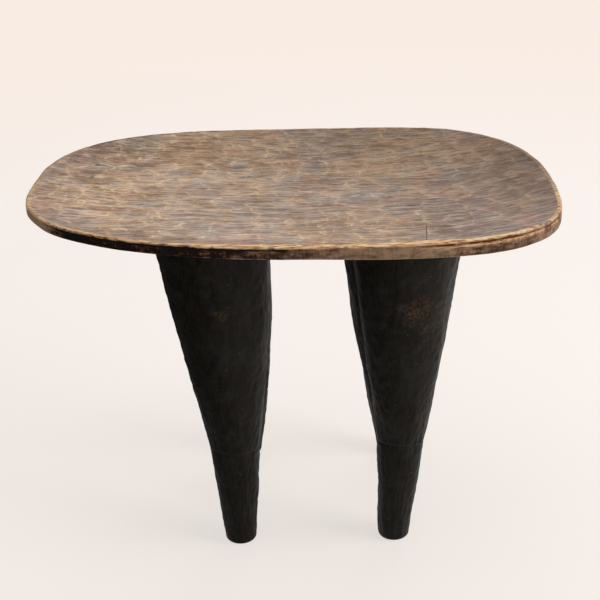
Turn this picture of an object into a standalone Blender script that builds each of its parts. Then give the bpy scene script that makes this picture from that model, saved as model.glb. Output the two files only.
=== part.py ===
# Carved low stool: a dished slab seat on four club-shaped legs.
# Each leg has a round stub tenon that stops inside the seat and is spread by a hidden wedge.
# Metres, +Z up. The origin is on the floor under the middle of the seat, the long side runs along X.

import bmesh
import bpy
import numpy as np
from math import atan2, cos, hypot, pi, radians, sin, sqrt
from mathutils import Matrix

# seat
SEAT_WIDTH = 0.538
SEAT_DEPTH = 0.347
SEAT_HEIGHT = 0.380           # level from which the rim rises and falls
DISH_DEPTH = 0.0130           # hollow worn and carved into the top
BELLY_DEPTH = 0.0200          # how far the underside swells below the rim
TOP_ARRIS = 0.0022            # worn rounding along the top edge
LOW_ARRIS = 0.0016            # smaller rounding along the lower edge
RIGHT_END_AT = -0.0370        # Y of the outermost point of the right end
LEFT_END_AT = -0.0080         # Y of the outermost point of the left end
REAR_EDGE_AT = 0.0510         # X of the outermost point of the rear edge
FRONT_EDGE_AT = 0.0320        # X of the outermost point of the front edge
CORNER_FULLNESS = {           # exponent of each quarter of the outline, 2 is an ellipse
    "rear_right": 2.68,
    "rear_left": 2.83,
    "front_left": 2.54,
    "front_right": 2.94,
}
RIM_LIFT = {                  # rise of the rim at eight places round it
    "right": -0.0012, "rear_right": 0.0032, "rear": -0.0007, "rear_left": 0.0024,
    "left": -0.0014, "front_left": 0.0010, "front": -0.0005, "front_right": 0.0018,
}
RIM_THICKNESS = {             # thickness of the rim at the same places
    "right": 0.0128, "rear_right": 0.0120, "rear": 0.0114, "rear_left": 0.0125,
    "left": 0.0080, "front_left": 0.0115, "front": 0.0128, "front_right": 0.0168,
}

# legs: where each one meets the seat, how far its foot stands from under there, and its own carved sizes
LEG_SETBACK = 0.0785          # from the nearer long edge of the seat to the middle of a leg's top
LEGS = {
    "front_left": {
        "top_x": -0.0768, "side": -1, "splay": (0.0160, 0.0060), "bow": 0.0040,
        "top_radius": 0.0560, "swell": 0.0022, "ankle_radius": 0.0266, "ankle_height": 0.1200,
    },
    "front_right": {
        "top_x": 0.1141, "side": -1, "splay": (-0.0086, 0.0120), "bow": 0.0030,
        "top_radius": 0.0537, "swell": 0.0012, "ankle_radius": 0.0246, "ankle_height": 0.1257,
    },
    "rear_left": {
        "top_x": -0.0905, "side": 1, "splay": (0.0260, -0.0070), "bow": 0.0100,
        "top_radius": 0.0520, "swell": 0.0024, "ankle_radius": 0.0258, "ankle_height": 0.0850,
    },
    "rear_right": {
        "top_x": 0.1045, "side": 1, "splay": (0.0060, -0.0070), "bow": -0.0095,
        "top_radius": 0.0545, "swell": 0.0020, "ankle_radius": 0.0256, "ankle_height": 0.1160,
    },
}
FOOT_RADIUS = 0.0165
SOLE_ROUND = 0.0030           # worn lower edge of the foot
ANKLE_STEP = 0.0004           # the shin starts this much slimmer than the taper above it
ANKLE_LINE_WIDTH = 0.0030     # carved line round the ankle
ANKLE_LINE_DEPTH = 0.0008

# joints
FIT_GAP = 0.0003              # clearance all round a tenon, a wedge and under the seat
TENON_RADIUS = 0.0220
MORTISE_COVER = 0.0065        # wood left between a mortise and the top of the seat
KERF_DEPTH = 0.0080           # saw cut in the tenon's end
WEDGE_HEAD = 0.0040           # wedge thickness at the mortise floor
WEDGE_TIP = 0.0018            # wedge thickness at the foot of the saw cut
WEDGE_SETBACK = 0.0015        # the wedge stops this far short of the tenon's side

# fineness of the meshes
QUARTER_STEPS = 22
TOP_RINGS = 8
LEG_SIDES = 32
TAPER_RINGS = 8

HALF_WIDTH = SEAT_WIDTH / 2
HALF_DEPTH = SEAT_DEPTH / 2

for leg in LEGS.values():
    leg["top"] = (leg["top_x"], leg["side"] * (HALF_DEPTH - LEG_SETBACK))
    leg["foot"] = (leg["top"][0] + leg["splay"][0], leg["top"][1] + leg["splay"][1])


def quarter_curve(number):
    # one quarter of the outline, between two neighbouring outermost points
    corner = ("rear_right", "rear_left", "front_left", "front_right")[number]
    side_x = 1 if number in (0, 3) else -1
    side_y = 1 if number in (0, 1) else -1
    middle_x = REAR_EDGE_AT if side_y > 0 else FRONT_EDGE_AT
    middle_y = RIGHT_END_AT if side_x > 0 else LEFT_END_AT
    turn = np.linspace(number * pi / 2, (number + 1) * pi / 2, 801)
    power = 2 / CORNER_FULLNESS[corner]
    xs = middle_x + (side_x * HALF_WIDTH - middle_x) * np.abs(np.cos(turn)) ** power
    ys = middle_y + (side_y * HALF_DEPTH - middle_y) * np.abs(np.sin(turn)) ** power
    return xs, ys


def outline_points():
    # even steps along each quarter, so the four outermost points are always on the outline
    points = []
    for number in range(4):
        xs, ys = quarter_curve(number)
        run = np.concatenate(([0.0], np.cumsum(np.hypot(np.diff(xs), np.diff(ys)))))
        stops = np.linspace(0, run[-1], QUARTER_STEPS + 1)[:-1]
        points += list(zip(np.interp(stops, run, xs), np.interp(stops, run, ys)))
    return points


OUTLINE_X = np.concatenate([quarter_curve(number)[0][:-1] for number in range(4)])
OUTLINE_Y = np.concatenate([quarter_curve(number)[1][:-1] for number in range(4)])
OUTLINE_TURN = np.arctan2(OUTLINE_Y, OUTLINE_X)
OUTLINE_REACH = np.hypot(OUTLINE_X, OUTLINE_Y)


def outline_share(x, y):
    # 0 at the middle of the seat, 1 on its outline
    reach = float(np.interp(atan2(y, x), OUTLINE_TURN, OUTLINE_REACH, period=2 * pi))
    return min(hypot(x, y) / reach, 1.0)


def round_rim(values, x, y):
    # eases between the eight named places, full at the rim and even in the middle
    places = list(values.values())
    turn = atan2(y / HALF_DEPTH, x / HALF_WIDTH) % (2 * pi) / (pi / 4)
    first = int(turn) % 8
    ease = turn - int(turn)
    ease = ease * ease * (3 - 2 * ease)
    here = places[first] * (1 - ease) + places[(first + 1) % 8] * ease
    even = sum(places) / 8
    return even + (here - even) * outline_share(x, y) ** 2


def rim_height(x, y):
    return SEAT_HEIGHT + round_rim(RIM_LIFT, x, y)


def top_height(x, y):
    return rim_height(x, y) - DISH_DEPTH * (1 - outline_share(x, y) ** 2)


def under_height(x, y):
    belly = BELLY_DEPTH * (1 - outline_share(x, y) ** 2)
    return rim_height(x, y) - round_rim(RIM_THICKNESS, x, y) - belly


def inset(points, distance):
    # moves a closed outline inwards, square to itself
    moved = []
    for i, (x, y) in enumerate(points):
        before = points[i - 1]
        after = points[(i + 1) % len(points)]
        along = (after[0] - before[0], after[1] - before[1])
        length = hypot(along[0], along[1])
        moved.append((x - along[1] / length * distance, y + along[0] / length * distance))
    return moved


def stack_rings(name, rings):
    # skins a stack of closed rings by extruding each ring's edges to the next, then caps both ends
    bm = bmesh.new()
    spoke = bm.verts.layers.int.new("spoke")
    circle = bmesh.ops.create_circle(bm, segments=len(rings[0]), radius=1.0)["verts"]
    circle.sort(key=lambda v: atan2(v.co.y, v.co.x) % (2 * pi))
    for i, vert in enumerate(circle):
        vert[spoke] = i
        vert.co = rings[0][i]
    edges = list(bm.edges)
    for ring in rings[1:]:
        grown = bmesh.ops.extrude_edge_only(bm, edges=edges)["geom"]
        fresh = {g for g in grown if isinstance(g, bmesh.types.BMVert)}
        for vert in fresh:
            vert.co = ring[vert[spoke]]
        edges = [g for g in grown if isinstance(g, bmesh.types.BMEdge) and set(g.verts) <= fresh]
    bmesh.ops.holes_fill(bm, edges=[e for e in bm.edges if e.is_boundary])
    bmesh.ops.recalc_face_normals(bm, faces=bm.faces)
    bm.verts.layers.int.remove(spoke)
    mesh = bpy.data.meshes.new(name)
    bm.to_mesh(mesh)
    bm.free()
    return mesh


def add_object(name, mesh, place, parent, material):
    piece = bpy.data.objects.new(name, mesh)
    bpy.context.scene.collection.objects.link(piece)
    piece.location = place
    piece.parent = parent
    mesh.materials.append(material)
    mesh.shade_smooth()
    mesh.set_sharp_from_angle(angle=radians(38))
    return piece


def add_cutter(name, mesh, place, parent):
    cutter = bpy.data.objects.new(name, mesh)
    bpy.context.scene.collection.objects.link(cutter)
    cutter.location = place
    cutter.parent = parent
    cutter.hide_render = True
    cutter.display_type = "WIRE"
    return cutter


def cut(piece, cutter):
    boolean = piece.modifiers.new(cutter.name, "BOOLEAN")
    boolean.operation = "DIFFERENCE"
    boolean.object = cutter
    boolean.solver = "EXACT"


def add_wood(name, colour, roughness):
    wood = bpy.data.materials.new(name)
    wood.use_nodes = True
    shader = wood.node_tree.nodes["Principled BSDF"]
    shader.inputs["Base Color"].default_value = (*colour, 1.0)
    shader.inputs["Roughness"].default_value = roughness
    shader.inputs["Metallic"].default_value = 0.0
    return wood


def seat_mesh():
    outline = outline_points()
    shares = [(i + 1) / TOP_RINGS for i in range(TOP_RINGS - 1)]
    rings = []
    for share in shares:
        flat = [(x * share, y * share) for x, y in outline]
        rings.append([(x, y, under_height(x, y)) for x, y in flat])
    # lower edge, side and top edge of the rim
    for inwards, up in ((LOW_ARRIS, 0.0), (LOW_ARRIS * 0.3, LOW_ARRIS * 0.3), (0.0, LOW_ARRIS)):
        flat = inset(outline, inwards)
        low = [rim_height(x, y) - round_rim(RIM_THICKNESS, x, y) for x, y in outline]
        rings.append([(x, y, z + up) for (x, y), z in zip(flat, low)])
    for inwards, down in ((0.0, TOP_ARRIS), (TOP_ARRIS * 0.3, TOP_ARRIS * 0.3), (TOP_ARRIS, 0.0)):
        flat = inset(outline, inwards)
        high = [rim_height(x, y) for x, y in outline]
        rings.append([(x, y, z - down) for (x, y), z in zip(flat, high)])
    for share in reversed(shares):
        flat = [(x * share, y * share) for x, y in outline]
        rings.append([(x, y, top_height(x, y)) for x, y in flat])
    return stack_rings("seat", rings)


def mortise_floor(leg):
    # highest point of a leg's mortise, below the hollow of the seat
    x, y = leg["top"]
    return top_height(x, y) - MORTISE_COVER


def leg_mesh(name, leg):
    foot_x, foot_y = leg["foot"]
    lean_x = leg["top"][0] - foot_x
    lean_y = leg["top"][1] - foot_y
    seat_line = under_height(*leg["top"])
    turns = [2 * pi * i / LEG_SIDES for i in range(LEG_SIDES)]

    def centre(height):
        share = height / seat_line
        return lean_x * share + leg["bow"] * 4 * share * (1 - share), lean_y * share

    def circle(height, radius):
        x, y = centre(height)
        return [(x + radius * cos(t), y + radius * sin(t), height) for t in turns]

    def under_seat(radius):
        x, y = lean_x, lean_y
        flat = [(x + radius * cos(t), y + radius * sin(t)) for t in turns]
        return [(u, v, under_height(u + foot_x, v + foot_y) - FIT_GAP) for u, v in flat]

    ankle = leg["ankle_height"]
    shin_radius = leg["ankle_radius"] - ANKLE_STEP
    line_low = ankle - ANKLE_LINE_WIDTH
    shin_slope = (shin_radius - FOOT_RADIUS) / line_low
    rings = [
        circle(0.0, FOOT_RADIUS - SOLE_ROUND),
        circle(SOLE_ROUND * 0.3, FOOT_RADIUS - SOLE_ROUND * 0.3),
        circle(SOLE_ROUND, FOOT_RADIUS + shin_slope * SOLE_ROUND),
        circle(line_low / 2, FOOT_RADIUS + shin_slope * line_low / 2),
        circle(line_low, shin_radius),
        circle(ankle - ANKLE_LINE_WIDTH / 2, shin_radius - ANKLE_LINE_DEPTH),
        circle(ankle, leg["ankle_radius"]),
    ]
    # swelling taper from the ankle to the seat, each ring a little more tilted with the underside
    upper_edge = under_seat(leg["top_radius"])
    for i in range(1, TAPER_RINGS):
        share = i / TAPER_RINGS
        radius = leg["ankle_radius"] + (leg["top_radius"] - leg["ankle_radius"]) * share
        radius += leg["swell"] * 4 * share * (1 - share)
        ring = []
        for turn, edge in zip(turns, upper_edge):
            height = ankle + (edge[2] - ankle) * share
            x, y = centre(height)
            ring.append((x + radius * cos(turn), y + radius * sin(turn), height))
        rings.append(ring)
    rings.append(upper_edge)
    rings.append(under_seat(TENON_RADIUS))
    end = mortise_floor(leg) - FIT_GAP
    rings.append([(x, y, end) for x, y, z in under_seat(TENON_RADIUS)])
    return stack_rings(name, rings)


def mortise_mesh(name, leg):
    bm = bmesh.new()
    low = under_height(*leg["top"]) - BELLY_DEPTH
    high = mortise_floor(leg)
    radius = TENON_RADIUS + FIT_GAP
    bmesh.ops.create_cone(bm, cap_ends=True, segments=LEG_SIDES, radius1=radius, radius2=radius,
                          depth=high - low, matrix=Matrix.Translation((0, 0, (high + low) / 2)))
    mesh = bpy.data.meshes.new(name)
    bm.to_mesh(mesh)
    bm.free()
    return mesh


def taper_block(name, tip, head, length, low, high):
    # a block along Y whose thickness grows from its lower to its upper edge
    bm = bmesh.new()
    bmesh.ops.create_cube(bm, size=1.0)
    for vert in bm.verts:
        thickness = head if vert.co.z > 0 else tip
        vert.co.x *= thickness
        vert.co.y *= length
        vert.co.z = high if vert.co.z > 0 else low
    mesh = bpy.data.meshes.new(name)
    bm.to_mesh(mesh)
    bm.free()
    return mesh


def kerf_mesh(name, leg):
    # the saw cut, spread by the wedge: it follows the wedge's taper on past the tenon's end
    end = mortise_floor(leg) - FIT_GAP
    slope = (WEDGE_HEAD - WEDGE_TIP) / (KERF_DEPTH - FIT_GAP)
    past = KERF_DEPTH
    tip = WEDGE_TIP + 2 * FIT_GAP - slope * FIT_GAP
    head = WEDGE_HEAD + 2 * FIT_GAP + slope * past
    return taper_block(name, tip, head, 4 * TENON_RADIUS, end - KERF_DEPTH, end + past)


def wedge_mesh(name, leg):
    end = mortise_floor(leg) - FIT_GAP
    chord = 2 * sqrt(TENON_RADIUS ** 2 - (WEDGE_HEAD / 2) ** 2)
    return taper_block(name, WEDGE_TIP, WEDGE_HEAD, chord - 2 * WEDGE_SETBACK,
                       end - KERF_DEPTH + FIT_GAP, end)


for old in list(bpy.data.objects):
    bpy.data.objects.remove(old, do_unlink=True)

stool = bpy.data.objects.new("stool", None)
bpy.context.scene.collection.objects.link(stool)

seat_wood = add_wood("worn_grey_brown_seat_wood", (0.270, 0.200, 0.145), 0.55)
leg_wood = add_wood("dark_handled_leg_wood", (0.030, 0.022, 0.018), 0.42)
wedge_wood = add_wood("pale_split_wedge_wood", (0.480, 0.330, 0.180), 0.65)

seat = add_object("seat", seat_mesh(), (0, 0, 0), stool, seat_wood)

for where, leg in LEGS.items():
    top_x, top_y = leg["top"]
    foot_x, foot_y = leg["foot"]
    limb = add_object("leg_" + where, leg_mesh("leg_" + where, leg), (foot_x, foot_y, 0), stool, leg_wood)
    mortise = add_cutter("mortise_" + where, mortise_mesh("mortise_" + where, leg), (top_x, top_y, 0), stool)
    cut(seat, mortise)
    kerf = add_cutter("kerf_" + where, kerf_mesh("kerf_" + where, leg), (top_x, top_y, 0), stool)
    cut(limb, kerf)
    add_object("wedge_" + where, wedge_mesh("wedge_" + where, leg), (top_x, top_y, 0), stool, wedge_wood)
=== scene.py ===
import math

import bmesh
import bpy
import numpy as np
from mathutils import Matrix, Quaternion, Vector


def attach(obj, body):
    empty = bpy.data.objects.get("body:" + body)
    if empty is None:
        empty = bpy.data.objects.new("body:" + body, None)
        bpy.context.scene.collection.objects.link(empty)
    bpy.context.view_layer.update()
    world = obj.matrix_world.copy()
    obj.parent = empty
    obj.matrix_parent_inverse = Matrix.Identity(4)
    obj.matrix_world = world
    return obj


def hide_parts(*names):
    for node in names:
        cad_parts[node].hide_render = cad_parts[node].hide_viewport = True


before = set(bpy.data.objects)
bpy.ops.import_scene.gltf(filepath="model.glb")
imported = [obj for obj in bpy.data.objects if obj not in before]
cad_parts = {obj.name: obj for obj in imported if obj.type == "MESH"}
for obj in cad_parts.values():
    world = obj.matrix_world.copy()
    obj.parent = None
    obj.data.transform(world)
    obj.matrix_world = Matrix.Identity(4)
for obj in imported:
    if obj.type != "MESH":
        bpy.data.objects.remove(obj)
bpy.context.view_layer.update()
print("frame loaded:", ", ".join(sorted(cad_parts)))


# sRGB hex to linear RGBA
def toLinear(hexColour):
    parts = [int(hexColour[i:i + 2], 16) / 255 for i in (1, 3, 5)]
    return [c / 12.92 if c <= 0.04045 else ((c + 0.055) / 1.055) ** 2.4 for c in parts] + [1.0]


# soft random hills between 0 and 1, size metres apart
def softNoise(x, y, size, seed):
    rng = np.random.default_rng(seed)
    lattice = rng.random((64, 64))
    u = np.asarray(x) / size + 17.3
    v = np.asarray(y) / size + 11.9
    i = np.floor(u).astype(int)
    j = np.floor(v).astype(int)
    fu = u - i
    fv = v - j
    fu = fu * fu * (3 - 2 * fu)
    fv = fv * fv * (3 - 2 * fv)
    near = lattice[i % 64, j % 64] * (1 - fu) + lattice[(i + 1) % 64, j % 64] * fu
    far = lattice[i % 64, (j + 1) % 64] * (1 - fu) + lattice[(i + 1) % 64, (j + 1) % 64] * fu
    return near * (1 - fv) + far * fv


def smoothStep(low, high, value):
    t = np.clip((value - low) / (high - low), 0, 1)
    return t * t * (3 - 2 * t)


# Overlapping adze cuts: each is a shallow bowl, and the wood keeps the lowest of them.
# Gives the height, the distance to the nearest ridge between two cuts, and a tint per cut.
def adzeCuts(x, y, cut, wrap=0.0):
    rng = np.random.default_rng(cut["seed"])
    (x0, x1), (y0, y1) = cut["spanX"], cut["spanY"]
    cols = max(1, round((x1 - x0) / cut["stepX"]))
    rows = max(1, round((y1 - y0) / cut["stepY"]))
    lowest = np.full(x.shape, 1e9)
    second = np.full(x.shape, 1e9)
    slopes = [np.zeros(x.shape) for _ in range(4)]
    tint = np.zeros(x.shape)
    for row in range(rows):
        for col in range(cols):
            jx, jy, level, turn, hue, sizeX, sizeY = rng.random(7)
            shift = 0.5 * (row % 2)
            cx = x0 + (col + 0.5 + shift + cut["jitter"] * (jx - 0.5)) * (x1 - x0) / cols
            cy = y0 + (row + 0.5 + cut["jitter"] * (jy - 0.5)) * (y1 - y0) / rows
            angle = cut["turn"] * (turn - 0.5) * 2
            c, s = math.cos(angle), math.sin(angle)
            ax = 2 * cut["depth"] / (cut["stepX"] * (0.42 + 0.25 * sizeX)) ** 2
            ay = 2 * cut["depth"] / (cut["stepY"] * (0.42 + 0.25 * sizeY)) ** 2
            for copy in ((-wrap, 0, wrap) if wrap else (0,)):
                dx = (x - cx - copy) * c + (y - cy) * s
                dy = (y - cy) * c - (x - cx - copy) * s
                height = 0.5 * ax * dx * dx + 0.5 * ay * dy * dy + cut["uneven"] * cut["depth"] * level
                gx = ax * dx * c - ay * dy * s
                gy = ax * dx * s + ay * dy * c
                first = height < lowest
                nextBest = ~first & (height < second)
                slopes[2] = np.where(first, slopes[0], np.where(nextBest, gx, slopes[2]))
                slopes[3] = np.where(first, slopes[1], np.where(nextBest, gy, slopes[3]))
                second = np.where(first, lowest, np.where(nextBest, height, second))
                slopes[0] = np.where(first, gx, slopes[0])
                slopes[1] = np.where(first, gy, slopes[1])
                tint = np.where(first, hue, tint)
                lowest = np.where(first, height, lowest)
    steep = np.hypot(slopes[0] - slopes[2], slopes[1] - slopes[3]) + 1e-9
    return lowest, np.minimum((second - lowest) / steep, 0.05), tint


# the slab's own form, shared by the seat and the tops of the legs
seatForm = {
    "halfWidth": 0.2690,
    "halfDepth": 0.1735,
    "height": 0.380,
    "dish": 0.0130,
    "belly": 0.0200,
    "rightEndAt": -0.0370,     # Y of the outermost point of each end
    "leftEndAt": -0.0080,
    "rearEdgeAt": 0.0510,      # X of the outermost point of each long edge
    "frontEdgeAt": 0.0320,
    "fullness": (2.68, 2.83, 2.54, 2.94),     # rear right, rear left, front left, front right
    # rise and thickness of the rim, from the right end round by the rear
    "lift": (-0.0012, 0.0032, -0.0007, 0.0024, -0.0014, 0.0010, -0.0005, 0.0018),
    "rim": (0.0128, 0.0120, 0.0114, 0.0125, 0.0080, 0.0115, 0.0128, 0.0168),
}


# the whole outline with its outward direction; place counts two for each quarter, from the right end
def drawOutline():
    form = seatForm
    xs, ys, places = [], [], []
    for number, full in enumerate(form["fullness"]):
        sideX = 1 if number in (0, 3) else -1
        sideY = 1 if number in (0, 1) else -1
        midX = form["rearEdgeAt"] if sideY > 0 else form["frontEdgeAt"]
        midY = form["rightEndAt"] if sideX > 0 else form["leftEndAt"]
        turn = np.linspace(number * math.pi / 2, (number + 1) * math.pi / 2, 801)
        x = midX + (sideX * form["halfWidth"] - midX) * np.abs(np.cos(turn)) ** (2 / full)
        y = midY + (sideY * form["halfDepth"] - midY) * np.abs(np.sin(turn)) ** (2 / full)
        run = np.concatenate(([0], np.cumsum(np.hypot(np.diff(x), np.diff(y)))))
        xs.append(x[:-1])
        ys.append(y[:-1])
        places.append(2 * number + 2 * run[:-1] / run[-1])
    x, y = np.concatenate(xs), np.concatenate(ys)
    stepX, stepY = np.roll(x, -1) - np.roll(x, 1), np.roll(y, -1) - np.roll(y, 1)
    length = np.hypot(stepX, stepY)
    return {"place": np.concatenate(places), "x": x, "y": y, "outX": stepY / length, "outY": -stepX / length,
            "turn": np.arctan2(y, x), "reach": np.hypot(x, y)}


outline = drawOutline()


# 0 in the middle of the seat, 1 on its outline
def outlineShare(x, y):
    reach = np.interp(np.arctan2(y, x), outline["turn"], outline["reach"], period=2 * math.pi)
    return np.hypot(x, y) / reach


# eases between eight values round the rim, full at the rim and even in the middle
def roundRim(values, x, y):
    values = np.array(values)
    turn = np.arctan2(y / seatForm["halfDepth"], x / seatForm["halfWidth"]) % (2 * math.pi) / (math.pi / 4)
    first = np.floor(turn).astype(int) % 8
    ease = turn - np.floor(turn)
    ease = ease * ease * (3 - 2 * ease)
    here = values[first] * (1 - ease) + values[(first + 1) % 8] * ease
    return values.mean() + (here - values.mean()) * np.minimum(outlineShare(x, y), 1) ** 2


def rimHeight(x, y):
    return seatForm["height"] + roundRim(seatForm["lift"], x, y)


def topHeight(x, y):
    return rimHeight(x, y) - seatForm["dish"] * (1 - np.minimum(outlineShare(x, y), 1) ** 2)


def underHeight(x, y):
    swell = seatForm["belly"] * (1 - np.minimum(outlineShare(x, y), 1) ** 2)
    return rimHeight(x, y) - roundRim(seatForm["rim"], x, y) - swell


# takes points of a square grid to the seat, square ring by square ring, with the way out of the seat there
def gridToOutline(u, v):
    ring = np.maximum(np.abs(u), np.abs(v))
    safe = np.maximum(ring, 1e-9)
    place = np.where(np.abs(u) >= np.abs(v), np.where(u >= 0, v / safe, 4 - v / safe),
                     np.where(v >= 0, 2 - u / safe, 6 + u / safe)) % 8
    x, y, outX, outY = [np.interp(place, outline["place"], outline[key], period=8) for key in ("x", "y", "outX", "outY")]
    return x * ring, y * ring, outX, outY, place


def putVerts(verts, x, y, z):
    for vert, place in zip(verts, np.stack((x, y, z), 1)):
        vert.co = place


def freshParts(grown):
    verts = [g for g in grown if isinstance(g, bmesh.types.BMVert)]
    known = set(verts)
    edges = [g for g in grown if isinstance(g, bmesh.types.BMEdge) and set(g.verts) <= known]
    return verts, edges


def meshObject(name, bm):
    bmesh.ops.recalc_face_normals(bm, faces=bm.faces)
    mesh = bpy.data.meshes.new(name)
    bm.to_mesh(mesh)
    bm.free()
    mesh.shade_smooth()
    piece = bpy.data.objects.new(name, mesh)
    bpy.context.scene.collection.objects.link(piece)
    return piece


# where each leg meets the seat and stands, and its carved sizes
legForms = {
    "front_left": {
        "top": (-0.0768, -0.0950), "foot": (-0.0608, -0.0890), "bow": 0.0040, "seed": 11,
        "topRadius": 0.0560, "swell": 0.0022, "ankleRadius": 0.0266, "ankleHeight": 0.1200,
    },
    "front_right": {
        "top": (0.1141, -0.0950), "foot": (0.1055, -0.0830), "bow": 0.0030, "seed": 23,
        "topRadius": 0.0537, "swell": 0.0012, "ankleRadius": 0.0246, "ankleHeight": 0.1257,
    },
    "rear_left": {
        "top": (-0.0905, 0.0950), "foot": (-0.0645, 0.0880), "bow": 0.0100, "seed": 37,
        "topRadius": 0.0520, "swell": 0.0024, "ankleRadius": 0.0258, "ankleHeight": 0.0850,
    },
    "rear_right": {
        "top": (0.1045, 0.0950), "foot": (0.1105, 0.0880), "bow": -0.0095, "seed": 53,
        "topRadius": 0.0545, "swell": 0.0020, "ankleRadius": 0.0256, "ankleHeight": 0.1160,
    },
}
joint = {"gap": 0.0003, "tenonRadius": 0.0220, "cover": 0.0065}

# adze cuts over the top of the seat, and the finer net of ridges between them
topCuts = {
    "long": 0.034,
    "wide": 0.030,
    "stray": 0.0075,
    "depth": 0.0005,
    "fineLong": 0.0165,
    "fineWide": 0.0150,
}


# Cells of the adze cuts, the same for the mesh and the colour: how far each point is from a cut's border,
# and a random colour for each cut.
def adzePattern(tree, place, long, wide, stray):
    drift = addNode(tree, "ShaderNodeTexNoise", inputs={"Scale": 1 / (0.45 * long), "Detail": 3.0, "Roughness": 0.6},
                    links={"Vector": place})
    offset = addNode(tree, "ShaderNodeVectorMath", {"operation": "SUBTRACT"}, {1: (0.5, 0.5, 0.5)},
                     {0: drift.outputs["Color"]})
    strayed = addNode(tree, "ShaderNodeVectorMath", {"operation": "MULTIPLY_ADD"}, {1: (3 * stray, 2 * stray, 0)},
                      {0: offset.outputs[0], 2: place})
    cells = addNode(tree, "ShaderNodeVectorMath", {"operation": "MULTIPLY"}, {1: (1 / long, 1 / wide, 0)},
                    {0: strayed.outputs[0]})
    border = addNode(tree, "ShaderNodeTexVoronoi", {"voronoi_dimensions": "2D", "feature": "DISTANCE_TO_EDGE"},
                     {"Scale": 1.0}, {"Vector": cells.outputs[0]})
    tint = addNode(tree, "ShaderNodeTexVoronoi", {"voronoi_dimensions": "2D", "feature": "F1"},
                   {"Scale": 1.0}, {"Vector": cells.outputs[0]})
    return border.outputs["Distance"], tint.outputs["Color"]


# hollows every cut of the top by the same cells that its colour uses
def carveTop(seat):
    look = topCuts
    tree = bpy.data.node_groups.new("adzeHollows", "GeometryNodeTree")
    for way in ("INPUT", "OUTPUT"):
        tree.interface.new_socket("Geometry", in_out=way, socket_type="NodeSocketGeometry")
    given = addNode(tree, "NodeGroupInput")
    place = addNode(tree, "GeometryNodeInputPosition")
    border, tint = adzePattern(tree, place.outputs["Position"], look["long"], look["wide"], look["stray"])
    share = addNode(tree, "ShaderNodeMapRange", inputs={"From Max": 0.40}, links={"Value": border})
    rest = addNode(tree, "ShaderNodeMath", {"operation": "SUBTRACT"}, {0: 2.0}, {1: share.outputs["Result"]})
    bowl = addNode(tree, "ShaderNodeMath", {"operation": "MULTIPLY"}, {},
                   {0: share.outputs["Result"], 1: rest.outputs[0]})
    mask = addNode(tree, "GeometryNodeInputNamedAttribute", {"data_type": "FLOAT"}, {"Name": "topFace"})
    masked = addNode(tree, "ShaderNodeMath", {"operation": "MULTIPLY"}, {},
                     {0: bowl.outputs[0], 1: mask.outputs["Attribute"]})
    down = addNode(tree, "ShaderNodeMath", {"operation": "MULTIPLY"}, {1: -look["depth"]}, {0: masked.outputs[0]})
    offset = addNode(tree, "ShaderNodeCombineXYZ", links={"Z": down.outputs[0]})
    moved = addNode(tree, "GeometryNodeSetPosition", links={
        "Geometry": given.outputs["Geometry"], "Offset": offset.outputs["Vector"]})
    addNode(tree, "NodeGroupOutput", links={"Geometry": moved.outputs["Geometry"]})
    seat.modifiers.new("adzeHollows", "NODES").node_group = tree
    carved = seat.evaluated_get(bpy.context.evaluated_depsgraph_get())
    mesh = bpy.data.meshes.new_from_object(carved)
    seat.modifiers.clear()
    seat.data = mesh
    mesh.name = "seatSlab"
    return mesh


seatLook = {
    "columns": 330,
    "rows": 204,
    "underColumns": 110,
    "underRows": 70,
    "arris": 0.0021,
    "arrisStart": 0.0050,
    "lowArris": 0.0016,
    "splitDeep": 0.0017,       # old split under the front edge towards the right
    # how far the dark patina on the side has worn off, from the left end to the right; the rise towards the right is
    # partly painted light from the right, and the high value at the very left end is painted light on an end the lamps
    # leave dark
    "sideWearAndLight": ((-0.242, 0.95), (-0.216, 0.27), (-0.100, 0.27), (-0.040, 0.40), (0.010, 0.50), (0.060, 0.70),
                 (0.140, 0.67), (0.200, 0.45), (0.235, 0.55)),
    "underCuts": {"seed": 9, "spanX": (-0.30, 0.30), "spanY": (-0.20, 0.20), "stepX": 0.052, "stepY": 0.034,
                  "jitter": 0.9, "turn": 0.5, "depth": 0.0008, "uneven": 0.6},
}


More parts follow.
